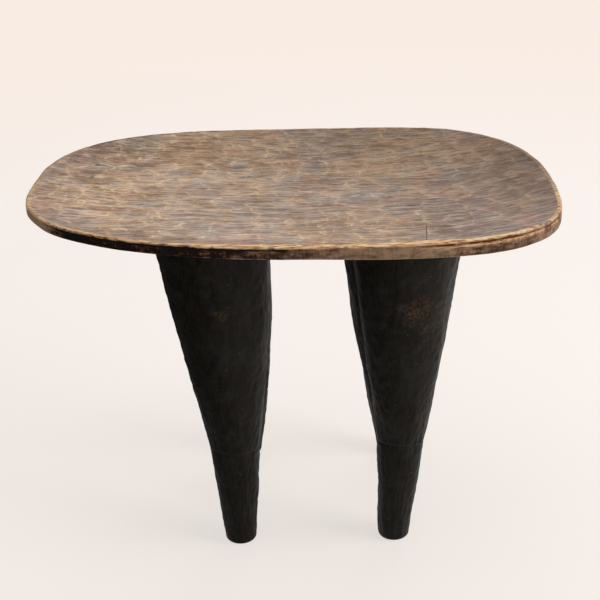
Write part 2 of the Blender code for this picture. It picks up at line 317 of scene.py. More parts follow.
def makeSeat():
    look = seatLook
    bm = bmesh.new()
    spoke = bm.verts.layers.int.new("spoke")
    part = bm.verts.layers.int.new("part")     # 0 top, 1 and up the rim's rings, 90 underside, 91 mortise
    top = bmesh.ops.create_grid(bm, x_segments=look["columns"], y_segments=look["rows"], size=1.0)["verts"]
    flat = np.array([v.co[:2] for v in top])
    gx, gy, ox, oy, place = gridToOutline(flat[:, 0], flat[:, 1])
    edgeVerts = [(p, v) for p, v in zip(place, top) if v.is_boundary]
    edgeVerts.sort(key=lambda pair: pair[0])
    for i, (p, vert) in enumerate(edgeVerts):
        vert[spoke] = i
    rimPlace = np.array([p for p, v in edgeVerts])
    rimX, rimY, outX, outY = [np.interp(rimPlace, outline["place"], outline[key], period=8)
                              for key in ("x", "y", "outX", "outY")]
    around = np.concatenate(([0], np.cumsum(np.hypot(np.diff(rimX), np.diff(rimY)))))

    # slightly uneven outline, as cut by hand
    wobble = 0.0018 * (softNoise(rimX, rimY, 0.070, 3) - 0.5) + 0.0008 * (softNoise(rimX, rimY, 0.022, 4) - 0.5)
    facets = adzeCuts(around, np.zeros(around.shape), {
        "seed": 21, "spanX": (-0.03, around[-1] + 0.03), "spanY": (-0.01, 0.01), "stepX": 0.024, "stepY": 0.02,
        "jitter": 0.8, "turn": 0.0, "depth": 0.0002, "uneven": 0.5})[0]
    wobble = wobble + facets - 0.0003
    rimX = rimX + outX * wobble
    rimY = rimY + outY * wobble

    # the top is the grid drawn in to where the worn edge begins
    ring = np.maximum(np.abs(flat[:, 0]), np.abs(flat[:, 1]))
    pull = smoothStep(0.55, 1.0, ring) * (np.interp(place, rimPlace, wobble, period=8) - look["arrisStart"])
    gx = gx + ox * pull
    gy = gy + oy * pull
    hills = 0.0014 * (softNoise(gx, gy, 0.085, 31) - 0.5) * (1 - smoothStep(0.85, 1.0, ring))
    putVerts(top, gx, gy, topHeight(gx, gy) + hills)

    # worn top edge, side and lower edge, ring by ring: how far in and how far down
    wear = softNoise(rimX, rimY, 0.014, 7) * 0.6 + softNoise(rimX, rimY, 0.004, 8) * 0.4
    roundness = look["arris"] * (0.70 + 0.60 * wear)
    thick = roundRim(seatForm["rim"], rimX, rimY)
    level = rimHeight(rimX, rimY)
    torn = softNoise(rimX, rimY, 0.011, 61) * 0.6 + softNoise(rimX, rimY, 0.004, 62) * 0.4
    split = smoothStep(0.115, 0.150, rimX) * smoothStep(-0.02, -0.06, rimY) * smoothStep(0.25, 0.5, torn)
    section = [(look["arrisStart"] * 0.78 + roundness * 0.22, roundness * 0.0)]
    for turn in (8, 28, 48, 68, 90):
        a = math.radians(turn)
        section.append((roundness * (1 - math.sin(a)), roundness * (1 - math.cos(a))))
    deep = thick - look["lowArris"]
    for share, cutIn in ((0.00, 0.0), (0.04, 1.0), (0.17, 1.0), (0.23, 0.0), (0.36, 0.0), (0.52, 0.0),
                         (0.68, 0.0), (0.84, 0.0), (1.0, 0.0)):
        section.append((cutIn * split * look["splitDeep"], roundness + (deep - roundness) * share))
    for turn in (30, 60, 90):
        a = math.radians(turn)
        section.append((look["lowArris"] * (1 - math.cos(a)), deep + look["lowArris"] * math.sin(a)))
    edges = [e for e in bm.edges if e.is_boundary]
    for number, (inset, drop) in enumerate(section):
        verts, edges = freshParts(bmesh.ops.extrude_edge_only(bm, edges=edges)["geom"])
        order = np.array([v[spoke] for v in verts])
        px = rimX - outX * inset
        py = rimY - outY * inset
        blend = 0.0 if number < 3 else 0.5 if number < 5 else 1.0
        base = topHeight(px, py) * (1 - blend) + level * blend
        putVerts(verts, px[order], py[order], (base - drop)[order])
        for vert in verts:
            vert[part] = number + 1

    # underside, coarser, drawn in a little and bridged to the lower edge
    under = bmesh.ops.create_grid(bm, x_segments=look["underColumns"], y_segments=look["underRows"], size=1.0)["verts"]
    flat = np.array([v.co[:2] for v in under])
    ux, uy, ox, oy, place = gridToOutline(flat[:, 0], flat[:, 1])
    ux *= 0.965
    uy *= 0.955
    cuts = adzeCuts(ux, uy, look["underCuts"])[0]
    fade = 1 - smoothStep(0.80, 0.95, outlineShare(ux, uy))
    putVerts(under, ux, uy, underHeight(ux, uy) + (cuts - cuts.mean()) * fade * 0.8)
    for vert in under:
        vert[part] = 90
    underEdges = [e for e in bm.edges if e.is_boundary and all(v[part] == 90 for v in e.verts)]
    bmesh.ops.bridge_loops(bm, edges=edges + underEdges)

    # blind mortise over each leg
    for leg in legForms.values():
        cx, cy = leg["top"]
        reach = joint["tenonRadius"] + joint["gap"]
        doomed = [f for f in bm.faces if f.verts[0][part] == 90
                  and math.hypot(f.calc_center_median().x - cx, f.calc_center_median().y - cy) < reach + 0.006]
        bmesh.ops.delete(bm, geom=doomed, context="FACES")
        mouth = [e for e in bm.edges if e.is_boundary]
        ringVerts = bmesh.ops.create_circle(bm, segments=48, radius=reach)["verts"]
        for vert in ringVerts:
            vert[part] = 91
            px, py = vert.co.x + cx, vert.co.y + cy
            vert.co = (px, py, float(underHeight(np.array(px), np.array(py))))
        ringEdges = [e for e in bm.edges if e.is_wire]
        bmesh.ops.bridge_loops(bm, edges=mouth + ringEdges)
        verts, capEdges = freshParts(bmesh.ops.extrude_edge_only(bm, edges=ringEdges)["geom"])
        for vert in verts:
            vert.co.z = float(topHeight(np.array(cx), np.array(cy))) - joint["cover"]
        bmesh.ops.edgeloop_fill(bm, edges=capEdges)

    seat = meshObject("seatSlab", bm)
    mesh = seat.data
    count = len(mesh.vertices)
    co = np.zeros(count * 3)
    mesh.vertices.foreach_get("co", co)
    x, y = co.reshape(-1, 3)[:, 0], co.reshape(-1, 3)[:, 1]
    parts = np.zeros(count, int)
    mesh.attributes["part"].data.foreach_get("value", parts)

    # golden wear along the edge: strongest at the front, thin at the right end, nearly gone at the rear
    ringAge = np.array([0.95, 1.0, 1.0, 0.90, 0.55, 0.20, 0.10, 0.0, 0.25, 0.75, 0.30])
    bandNoise = softNoise(x, y, 0.011, 51) * 0.5 + softNoise(x, y, 0.0035, 52) * 0.5
    front = smoothStep(0.02, -0.04, y)
    faces = 0.12 + 0.88 * front * (0.35 + 0.65 * smoothStep(-0.31, -0.03, x)) * (1 - 0.45 * smoothStep(0.20, 0.25, x))
    edgeWear = np.zeros(count)
    worn = (parts >= 1) & (parts <= 11)
    inSplit = smoothStep(0.115, 0.150, x) * smoothStep(-0.02, -0.06, y)
    edgeWear[worn] = (ringAge[parts[worn] - 1] * np.where(parts[worn] > 6, inSplit[worn], 1)
                      * smoothStep(0.16, 0.42, bandNoise[worn]) * faces[worn])
    strip = np.flatnonzero((parts == 0) & (outlineShare(x, y) > 0.90))
    toRim = np.array([np.hypot(outline["x"] - x[i], outline["y"] - y[i]).min() for i in strip])
    reach = (0.0036 + (0.0040 + 0.0095 * softNoise(x[strip], y[strip], 0.024, 71))
             * smoothStep(-0.16, 0.02, x[strip]) * smoothStep(0.200, 0.130, x[strip]))
    edgeWear[strip] = 0.95 * smoothStep(reach + 0.0018, reach - 0.0010, toRim) * faces[strip] ** 1.5 * smoothStep(-0.26, -0.02, x[strip])
    # at the rear the dark side colour climbs over the arris: painted shade there
    rear = smoothStep(-0.01, 0.03, y)
    jag = 2.4 * (softNoise(x, y, 0.013, 81) - 0.5) + 1.2 * (softNoise(x, y, 0.005, 82) - 0.5)
    patinaAndRearShade = smoothStep(3.4 + jag - 2.4 * rear, 4.8 + jag - 2.8 * rear, np.where(parts >= 90, 20, parts).astype(float))
    crevice = np.isin(parts, (8, 9)) * inSplit * smoothStep(0.25, 0.5, softNoise(x, y, 0.011, 61) * 0.6
                                                            + softNoise(x, y, 0.004, 62) * 0.4)
    # painted shade just under the top edge, on the left half of the side
    shade = np.where((parts >= 6) & (parts <= 9), 1.0, 0.0) * smoothStep(0.05, -0.06, x)
    # painted highlight: a paler line along the lower edge
    lowEdge = np.where((parts >= 16) & (parts <= 17), 1.0, 0.0) * smoothStep(0.3, 0.55, bandNoise)
    topFace = np.where(parts == 0, 1 - smoothStep(0.965, 0.985, outlineShare(x, y)), 0.0)
    sideWearAndLight = np.interp(x, *zip(*look["sideWearAndLight"]))
    # grime along the edge, most on the left half
    grime = (smoothStep(0.80, 0.96, outlineShare(x, y)) * (0.4 + 0.6 * smoothStep(0.08, -0.02, x))
             * (0.55 + 0.45 * smoothStep(-0.25, -0.20, x)) * smoothStep(0.14, 0.09, y) * (parts < 6))
    for name, values in (("edgeWear", edgeWear), ("patinaAndRearShade", patinaAndRearShade), ("crevice", crevice), ("topFace", topFace),
                         ("shade", shade), ("lowEdge", lowEdge), ("sideWearAndLight", sideWearAndLight), ("grime", grime)):
        mesh.attributes.new(name, "FLOAT", "POINT").data.foreach_set("value", values.astype(np.float32))
    mesh = carveTop(seat)
    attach(seat, "root")
    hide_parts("seat")
    print("seat:", count, "vertices,", len(mesh.polygons), "faces")
    return seat


legLook = {
    "sides": 144,
    "rings": 176,
    "footRadius": 0.0165,
    "soleRound": 0.0036,
    "ankleStep": 0.0004,
    "ankleLineWidth": 0.0030,
    "ankleLineDepth": 0.0008,
    "ankleClimb": 0.0032,
    "cutWide": 0.015,
    "cutTall": 0.046,
    "cutDepth": 0.00042,
    "dents": 0.00085,
}


def makeLeg(where, form):
    look = legLook
    footX, footY = form["foot"]
    leanX, leanY = form["top"][0] - footX, form["top"][1] - footY
    seatLine = float(underHeight(np.array(form["top"][0]), np.array(form["top"][1])))
    turns = np.linspace(0, 2 * math.pi, look["sides"], endpoint=False)
    ankle = form["ankleHeight"]
    lineLow = ankle - look["ankleLineWidth"]
    shinRadius = form["ankleRadius"] - look["ankleStep"]

    def centre(height):
        share = height / seatLine
        return footX + leanX * share + form["bow"] * 4 * share * (1 - share), footY + leanY * share

    # seat height round the leg's top edge, which the upper rings tilt towards
    edgeX = form["top"][0] + form["topRadius"] * np.cos(turns)
    edgeY = form["top"][1] + form["topRadius"] * np.sin(turns)
    edgeZ = underHeight(edgeX, edgeY) - joint["gap"]

    # heights of the rings, close together at the sole and round the ankle line
    shares = np.concatenate((
        look["soleRound"] * (1 - np.cos(np.linspace(0, math.pi / 2, 7))),
        np.linspace(look["soleRound"] + 0.002, lineLow - 0.003, 40),
        np.linspace(lineLow - 0.0015, ankle + 0.0055, 16),
    ))
    upper = np.linspace(0, 1, look["rings"] - len(shares) + 1)[1:]
    upper = upper * (edgeZ.mean() - ankle - 0.0055) + ankle + 0.0055
    rings = []
    for height in np.concatenate((shares, upper)):
        share = np.clip((height - ankle) / (edgeZ.mean() - ankle), 0, 1)
        z = np.full(turns.shape, height) + (edgeZ - edgeZ.mean()) * share
        if height < ankle:
            radius = look["footRadius"] + (shinRadius - look["footRadius"]) * min(height / lineLow, 1)
        else:
            radius = form["ankleRadius"] + (form["topRadius"] - form["ankleRadius"]) * share
            radius += form["swell"] * 4 * share * (1 - share)
        if height < look["soleRound"]:
            fall = 1 - height / look["soleRound"]
            radius -= look["soleRound"] * (1 - math.sqrt(max(0.0, 1 - fall * fall)))
        rings.append((z, np.full(turns.shape, radius)))

    z = np.array([r[0] for r in rings])
    radius = np.array([r[1] for r in rings])
    reference = 0.040
    cuts, ridge, tint = adzeCuts(
        np.broadcast_to(turns * reference, z.shape), z,
        {"seed": form["seed"], "spanX": (0, 2 * math.pi * reference), "spanY": (-0.03, 0.40),
         "stepX": look["cutWide"], "stepY": look["cutTall"], "jitter": 0.8, "turn": 0.12,
         "depth": look["cutDepth"], "uneven": 0.7}, wrap=2 * math.pi * reference)
    wobble = softNoise(np.cos(turns) * 0.04 + z * 0.6, np.sin(turns) * 0.04 + z * 0.35, 0.034, form["seed"] + 1) - 0.5
    calm = smoothStep(0.0, 0.012, z) * (1 - 0.6 * smoothStep(edgeZ.mean() - 0.012, edgeZ.mean(), z))
    # small dents, 64 round the leg
    dents = softNoise(np.broadcast_to(turns * 32 / math.pi, z.shape), z / 0.0055, 1.0, form["seed"] + 3) - 0.5
    radius = radius + calm * ((cuts - cuts.mean()) * (0.5 + radius / 0.06) + 0.0016 * wobble + look["dents"] * dents)
    # carved line round the ankle, wandering a little and higher on the outer side
    wander = (0.0030 * (softNoise(np.cos(turns) * 0.03, np.sin(turns) * 0.03, 0.016, form["seed"] + 2) - 0.5)
              + look["ankleClimb"] * np.maximum(np.sin(turns) * math.copysign(1, form["top"][1]), 0))
    offLine = (z - (ankle - look["ankleLineWidth"] / 2) - wander) / (look["ankleLineWidth"] * 0.42)
    line = np.exp(-offLine ** 2)
    radius = radius - look["ankleLineDepth"] * line

    bm = bmesh.new()
    spoke = bm.verts.layers.int.new("spoke")
    level = bm.verts.layers.int.new("level")
    sole = bmesh.ops.create_circle(bm, segments=look["sides"], radius=1.0)["verts"]
    sole.sort(key=lambda v: math.atan2(v.co.y, v.co.x) % (2 * math.pi))
    for i, vert in enumerate(sole):
        vert[spoke] = i
    verts, edges = sole, list(bm.edges)
    bmesh.ops.edgeloop_fill(bm, edges=edges)
    for number in range(len(rings)):
        if number:
            verts, edges = freshParts(bmesh.ops.extrude_edge_only(bm, edges=edges)["geom"])
        order = np.array([v[spoke] for v in verts])
        cx, cy = centre(z[number])
        putVerts(verts, (cx + radius[number] * np.cos(turns))[order],
                 (cy + radius[number] * np.sin(turns))[order], z[number][order])
        for vert in verts:
            vert[level] = number
    # shoulder under the seat, then the stub tenon
    tenonX = form["top"][0] + joint["tenonRadius"] * np.cos(turns)
    tenonY = form["top"][1] + joint["tenonRadius"] * np.sin(turns)
    end = float(topHeight(np.array(form["top"][0]), np.array(form["top"][1]))) - joint["cover"] - joint["gap"]
    for tenonZ in (underHeight(tenonX, tenonY) - joint["gap"], np.full(turns.shape, end)):
        verts, edges = freshParts(bmesh.ops.extrude_edge_only(bm, edges=edges)["geom"])
        order = np.array([v[spoke] for v in verts])
        putVerts(verts, tenonX[order], tenonY[order], tenonZ[order])
        for vert in verts:
            vert[level] = len(rings) - 1
    bmesh.ops.edgeloop_fill(bm, edges=edges)

    leg = meshObject("carvedLeg_" + where, bm)
    mesh = leg.data
    spokes = np.zeros(len(mesh.vertices), int)
    levels = np.zeros(len(mesh.vertices), int)
    mesh.attributes["spoke"].data.foreach_get("value", spokes)
    mesh.attributes["level"].data.foreach_get("value", levels)
    ridgeWear = np.exp(-(ridge / 0.0018) ** 2)[levels, spokes]
    for name, values in (("ridgeWear", ridgeWear), ("cutTint", tint[levels, spokes]), ("ankleLine", line[levels, spokes])):
        mesh.attributes.new(name, "FLOAT", "POINT").data.foreach_set("value", values.astype(np.float32))
    mesh.set_sharp_from_angle(angle=math.radians(60))
    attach(leg, "root")
    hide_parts("leg_" + where)
    print("leg", where + ":", len(mesh.vertices), "vertices")
    return leg


# adds a node, sets its values and inputs, and links its inputs to other sockets
def addNode(tree, kind, values=None, inputs=None, links=None):
    node = tree.nodes.new(kind)
    for key, value in (values or {}).items():
        setattr(node, key, value)
    for key, value in (inputs or {}).items():
        node.inputs[key].default_value = value
    for key, socket in (links or {}).items():
        tree.links.new(socket, node.inputs[key])
    return node


def newMaterial(name):
    material = bpy.data.materials.new(name)
    material.use_nodes = True
    tree = material.node_tree
    return material, tree, tree.nodes["Principled BSDF"]


def setRamp(node, stops):
    ramp = node.color_ramp
    while len(ramp.elements) < len(stops):
        ramp.elements.new(0.5)
    for element, (place, colour) in zip(ramp.elements, stops):
        element.position = place
        element.color = toLinear(colour)


topWood = {
    "blueGrey": "#9d9590",
    "brownGrey": "#b09581",
    "pinkBrown": "#bc9782",
    "golden": "#caa376",
    "ruddy": "#cb997d",
    "weathered": "#94918a",
    "darkGrain": "#6c5242",
    "paleGrain": "#e3cfbc",
    "fissure": "#4a3729",
    "ridge": "#ead0b1",
    "rearRightShade": "#b8b6b4",       # painted shade: darkens the top towards the rear right
    "edge": "#d09553",
    # palest rubbed wood on the edge, made brighter as painted highlight too
    "edgePale": "#f3d8b0",
    "edgeGap": "#5a3018",
    "grime": "#d6d3da",
    "crustDark": "#170c08",
    "crustMid": "#5e4535",
    "crustPale": "#9a7f66",
    "crevice": "#622f13",
    "check": "#2a1f19",
    # broad zones of the top: middle, reach, colour and strength
    "zones": (
        ((-0.120, -0.045), 0.130, "paleGrain", 0.62),
        ((-0.020, -0.065), 0.060, "paleGrain", 0.40),
        ((-0.020, -0.050), 0.110, "blueGrey", 0.75),
        ((-0.120, -0.080), 0.075, "blueGrey", 0.55),
        ((0.100, -0.010), 0.070, "blueGrey", 0.45),
        ((0.045, 0.140), 0.045, "blueGrey", 0.60),
        ((0.248, 0.020), 0.090, "darkGrain", 0.95),
        ((0.150, -0.110), 0.080, "blueGrey", 0.80),
        ((0.130, -0.120), 0.105, "darkGrain", 0.80),
        ((-0.075, 0.105), 0.095, "golden", 0.95),
        ((0.115, 0.090), 0.085, "golden", 0.90),
        ((0.190, 0.075), 0.045, "golden", 0.40),
        ((-0.200, 0.010), 0.070, "golden", 0.85),
        ((0.065, -0.125), 0.060, "golden", 0.75),
        ((-0.045, 0.010), 0.035, "golden", 0.45),
        ((-0.252, 0.025), 0.062, "blueGrey", 1.0),
        ((-0.225, 0.055), 0.050, "darkGrain", 0.42),
        ((-0.175, 0.090), 0.045, "darkGrain", 0.55),
        ((-0.130, -0.130), 0.050, "darkGrain", 0.65),
    ),
}


# Dense tropical hardwood, cut with an adze and handled for years: grey-brown and dry in the hollows,
# golden where the ridges and the edge are rubbed, nearly black where old patina is left on the side.
# Light and shade are painted in as well: shade towards the rear right of the top, under the top edge on the left and
# over the rear arris, and highlights on the edges.
def makeTopWood():
    look = topWood
    material, tree, shader = newMaterial("adzedHardwoodWorn")
    place = addNode(tree, "ShaderNodeTexCoord").outputs["Object"]
    apart = addNode(tree, "ShaderNodeSeparateXYZ", links={"Vector": place})

    # the grain runs along the seat, sways a little, and swings towards the rear at both ends
    sway = addNode(tree, "ShaderNodeTexNoise", inputs={"Scale": 1 / 0.075, "Detail": 1.0}, links={"Vector": place})
    across = addNode(tree, "ShaderNodeMath", {"operation": "MULTIPLY_ADD"}, {1: 0.014},
                     {0: sway.outputs["Fac"], 2: apart.outputs["Y"]})
    for side, start, bend in ((1, 0.13, 2.0), (-1, 0.17, 1.2)):
        past = addNode(tree, "ShaderNodeMath", {"operation": "MULTIPLY_ADD"}, {1: side, 2: -start},
                       {0: apart.outputs["X"]})
        over = addNode(tree, "ShaderNodeMath", {"operation": "MAXIMUM"}, {1: 0.0}, {0: past.outputs[0]})
        square = addNode(tree, "ShaderNodeMath", {"operation": "MULTIPLY"}, {}, {0: over.outputs[0], 1: over.outputs[0]})
        across = addNode(tree, "ShaderNodeMath", {"operation": "MULTIPLY_ADD"}, {1: -bend},
                         {0: square.outputs[0], 2: across.outputs[0]})
    grainPlace = addNode(tree, "ShaderNodeCombineXYZ", links={
        "X": apart.outputs["X"], "Y": across.outputs[0], "Z": apart.outputs["Z"]})
    noises = {}
    for name, source, size, detail in (
            ("fibre", grainPlace.outputs[0], (0.0120, 0.0020, 0.0030), 2.0),
            ("streak", grainPlace.outputs[0], (0.0380, 0.0038, 0.0060), 3.0),
            ("band", grainPlace.outputs[0], (0.0900, 0.0170, 0.0150), 3.0),
            ("mottle", place, (0.0210, 0.0240, 0.0200), 3.0),
            ("fissure", grainPlace.outputs[0], (0.0220, 0.0036, 0.0060), 1.0),
            ("patch", place, (0.0600, 0.0480, 0.0500), 3.0),
            ("hue", place, (0.0300, 0.0340, 0.0300), 2.0),
            ("region", place, (0.1000, 0.0800, 0.1000), 1.0),
            ("broken", place, (0.0110, 0.0080, 0.0100), 2.0),
            ("chip", place, (0.0150, 0.0026, 0.0011), 3.0),
            ("upright", place, (0.0020, 0.0020, 0.0080), 3.0),
            ("blotch", place, (0.0110, 0.0110, 0.0045), 5.0)):
        stretch = addNode(tree, "ShaderNodeMapping", inputs={"Scale": [1 / s for s in size]}, links={"Vector": source})
        noises[name] = addNode(tree, "ShaderNodeTexNoise", inputs={"Scale": 1.0, "Detail": detail, "Roughness": 0.6},
                               links={"Vector": stretch.outputs["Vector"]}).outputs["Fac"]

    # ridges of the adze cuts and the finer net between them, broken here and there
    cuts = topCuts
    border, tint = adzePattern(tree, place, cuts["long"], cuts["wide"], cuts["stray"])
    fineBorder, fineTint = adzePattern(tree, place, cuts["fineLong"], cuts["fineWide"], cuts["stray"] * 0.6)
    lineWidth = addNode(tree, "ShaderNodeMapRange", inputs={"To Min": 0.020, "To Max": 0.110}, links={"Value": noises["broken"]})
    crest = addNode(tree, "ShaderNodeMapRange", inputs={"To Min": 1.0, "To Max": 0.0},
                    links={"Value": border, "From Max": lineWidth.outputs["Result"]})
    fineCrest = addNode(tree, "ShaderNodeMapRange", inputs={"From Max": 0.075, "To Min": 1.0, "To Max": 0.0},
                        links={"Value": fineBorder})
    # broad zones, paler, greyer or more golden than the rest
    level = addNode(tree, "ShaderNodeVectorMath", {"operation": "MULTIPLY"}, {1: (1, 1, 0)}, {0: place})
    zones = []
    rubbed = noises["region"]
    for (zoneX, zoneY), reach, tone, most in look["zones"]:
        away = addNode(tree, "ShaderNodeVectorMath", {"operation": "DISTANCE"}, {1: (zoneX, zoneY, 0)}, {0: level.outputs[0]})
        spread = addNode(tree, "ShaderNodeMapRange", {"interpolation_type": "SMOOTHSTEP"},
                         {"From Min": 0.1 * reach, "From Max": 1.3 * reach, "To Min": most, "To Max": 0.0},
                         {"Value": away.outputs["Value"]})
        uneven = addNode(tree, "ShaderNodeMapRange", inputs={"From Min": 0.30, "From Max": 0.62},
                         links={"Value": noises["patch"], "To Max": spread.outputs["Result"]})
        zones.append((uneven.outputs["Result"], look[tone]))
        if tone == "golden":
            rubbed = addNode(tree, "ShaderNodeMath", {"operation": "MULTIPLY_ADD"}, {1: 0.35},
                             {0: spread.outputs["Result"], 2: rubbed}).outputs[0]
    shares = {}
    for name, source, low, high, most in (
            ("unbroken", noises["broken"], 0.40, 0.56, 1.0),
            ("kept", noises["mottle"], 0.34, 0.60, 1.0),
            ("rubbed", rubbed, 0.40, 0.66, 1.0),
            ("darkStreak", noises["streak"], 0.49, 0.34, 0.70),
            ("paleStreak", noises["streak"], 0.52, 0.68, 0.55),
            ("darkFibre", noises["fibre"], 0.47, 0.32, 0.55),
            ("paleFibre", noises["fibre"], 0.54, 0.70, 0.45),
            ("darkBand", noises["band"], 0.48, 0.30, 0.45),
            ("ruddy", noises["hue"], 0.49, 0.62, 0.78),
            ("weathered", noises["hue"], 0.48, 0.35, 0.78),
            ("darkMottle", noises["mottle"], 0.50, 0.28, 0.50),
            ("paleMottle", noises["mottle"], 0.52, 0.72, 0.45),
            ("fissure", noises["fissure"], 0.70, 0.76, 0.85),
            ("frayed", noises["fibre"], 0.30, 0.48, 1.0),
            ("rubbedEdgeAndHighlight", noises["chip"], 0.44, 0.56, 0.95),
            ("chipped", noises["chip"], 0.34, 0.44, 1.0)):
        shares[name] = addNode(tree, "ShaderNodeMapRange", inputs={"From Min": low, "From Max": high, "To Max": most},
                               links={"Value": source}).outputs["Result"]
    halo = addNode(tree, "ShaderNodeMapRange", inputs={"From Max": 0.30, "To Min": 0.80, "To Max": 0.0}, links={"Value": border})
    shares["halo"] = addNode(tree, "ShaderNodeMath", {"operation": "MULTIPLY"}, {},
                             {0: halo.outputs["Result"], 1: shares["rubbed"]}).outputs[0]
    # the ridges are less rubbed towards the right end
    fresh = addNode(tree, "ShaderNodeMapRange", inputs={"From Min": 0.03, "From Max": 0.20, "To Min": 1.0, "To Max": 0.55},
                    links={"Value": apart.outputs["X"]})
    shares["fresh"] = fresh.outputs["Result"]
    for name, first, second, most in (
            ("ridge", crest.outputs["Result"], shares["unbroken"], 1.15),
            ("fineRidge", fineCrest.outputs["Result"], shares["rubbed"], 0.75)):
        share = addNode(tree, "ShaderNodeMath", {"operation": "MULTIPLY"}, {}, {0: first, 1: second}).outputs[0]
        for gap in ("frayed", "kept", "fresh"):
            share = addNode(tree, "ShaderNodeMath", {"operation": "MULTIPLY"}, {}, {0: share, 1: shares[gap]}).outputs[0]
        shares[name] = addNode(tree, "ShaderNodeMath", {"operation": "MULTIPLY"}, {1: most}, {0: share}).outputs[0]

    # colour, from the body of the wood up to the rubbed ridges
    body = addNode(tree, "ShaderNodeValToRGB", links={"Fac": noises["patch"]})
    setRamp(body, [(0.36, look["blueGrey"]), (0.46, look["brownGrey"]), (0.54, look["pinkBrown"]), (0.64, look["golden"])])
    cutRamp = addNode(tree, "ShaderNodeValToRGB", links={"Fac": tint})
    setRamp(cutRamp, [(0.15, look["blueGrey"]), (0.45, look["brownGrey"]), (0.65, look["pinkBrown"]), (0.85, look["golden"])])
    colour = addNode(tree, "ShaderNodeMix", {"data_type": "RGBA"}, {0: 0.40},
                     {6: body.outputs["Color"], 7: cutRamp.outputs["Color"]}).outputs[2]
    layers = [(shares[name], look[name]) for name in ("ruddy", "weathered")] + zones
    layers += [(shares[name], look[tone]) for name, tone in (
        ("halo", "golden"), ("darkMottle", "darkGrain"), ("paleMottle", "paleGrain"), ("darkBand", "darkGrain"),
        ("darkStreak", "darkGrain"), ("paleStreak", "paleGrain"), ("darkFibre", "darkGrain"),
        ("paleFibre", "paleGrain"), ("fissure", "fissure"), ("fineRidge", "ridge"), ("ridge", "ridge"))]
    for share, hexColour in layers:
        colour = addNode(tree, "ShaderNodeMix", {"data_type": "RGBA"}, {7: toLinear(hexColour)},
                         {0: share, 6: colour}).outputs[2]

    # painted light and shade: the near left part of the top brighter and the rear right part duller, as if lit from
    # the right and from behind
    slant = addNode(tree, "ShaderNodeMath", {"operation": "MULTIPLY_ADD"}, {1: 1.45},
                    {0: apart.outputs["Y"], 2: apart.outputs["X"]})
    uneven = addNode(tree, "ShaderNodeMath", {"operation": "MULTIPLY_ADD"}, {1: 0.30}, {0: noises["region"], 2: slant.outputs[0]})
    paintedShadeShare = addNode(tree, "ShaderNodeMapRange", inputs={"From Min": -0.12, "From Max": 0.48}, links={"Value": uneven.outputs[0]})
    colour = addNode(tree, "ShaderNodeMix", {"data_type": "RGBA", "blend_type": "MULTIPLY"}, {7: toLinear(look["rearRightShade"])},
                     {0: paintedShadeShare.outputs["Result"], 6: colour}).outputs[2]

    grime = addNode(tree, "ShaderNodeAttribute", {"attribute_name": "grime"})
    colour = addNode(tree, "ShaderNodeMix", {"data_type": "RGBA", "blend_type": "MULTIPLY"}, {7: toLinear(look["grime"])},
                     {0: grime.outputs["Fac"], 6: colour}).outputs[2]

    # a short check that runs in from the front edge
    drift = addNode(tree, "ShaderNodeMath", {"operation": "MULTIPLY_ADD"}, {1: -0.06, 2: -0.1388}, {0: apart.outputs["Y"]})
    aside = addNode(tree, "ShaderNodeMath", {"operation": "ADD"}, {}, {0: apart.outputs["X"], 1: drift.outputs[0]})
    away = addNode(tree, "ShaderNodeMath", {"operation": "ABSOLUTE"}, {}, {0: aside.outputs[0]})
    narrow = addNode(tree, "ShaderNodeMapRange", inputs={"From Min": 0.0003, "From Max": 0.0008, "To Min": 0.9, "To Max": 0.0},
                     links={"Value": away.outputs[0]})
    short = addNode(tree, "ShaderNodeMapRange", inputs={"From Min": -0.114, "From Max": -0.107, "To Min": 1.0, "To Max": 0.0},
                    links={"Value": apart.outputs["Y"]})
    checkShare = addNode(tree, "ShaderNodeMath", {"operation": "MULTIPLY"}, {},
                         {0: narrow.outputs["Result"], 1: short.outputs["Result"]})
    colour = addNode(tree, "ShaderNodeMix", {"data_type": "RGBA"}, {7: toLinear(look["check"])},
                     {0: checkShare.outputs[0], 6: colour}).outputs[2]

    # side of the rim: old dark patina, worn through in places, with painted shade just under the top edge on the left
    # and a painted highlight along the lower edge
    # worn patina on the side, with painted light at the left end and towards the right
    sideWearAndLight = addNode(tree, "ShaderNodeAttribute", {"attribute_name": "sideWearAndLight"})
    sideGrain = addNode(tree, "ShaderNodeMath", {"operation": "MULTIPLY_ADD"}, {1: 0.40, 2: -0.70}, {0: noises["upright"]})
    crustTone = addNode(tree, "ShaderNodeMath", {"operation": "ADD"}, {}, {0: noises["blotch"], 1: sideWearAndLight.outputs["Fac"]})
    crustTone = addNode(tree, "ShaderNodeMath", {"operation": "ADD"}, {}, {0: crustTone.outputs[0], 1: sideGrain.outputs[0]})
    crustRamp = addNode(tree, "ShaderNodeValToRGB")
    setRamp(crustRamp, [(0.33, look["crustDark"]), (0.50, look["crustMid"]), (0.78, look["crustPale"])])
    # where the dark side colour lies: old patina on the side, and painted shade over the rear arris
    patinaAndRearShade = addNode(tree, "ShaderNodeAttribute", {"attribute_name": "patinaAndRearShade"})
    # painted shade: darker just under the top edge on the left
    shade = addNode(tree, "ShaderNodeAttribute", {"attribute_name": "shade"})
    darker = addNode(tree, "ShaderNodeMath", {"operation": "MULTIPLY_ADD"}, {1: -0.16}, {0: shade.outputs["Fac"], 2: crustTone.outputs[0]})
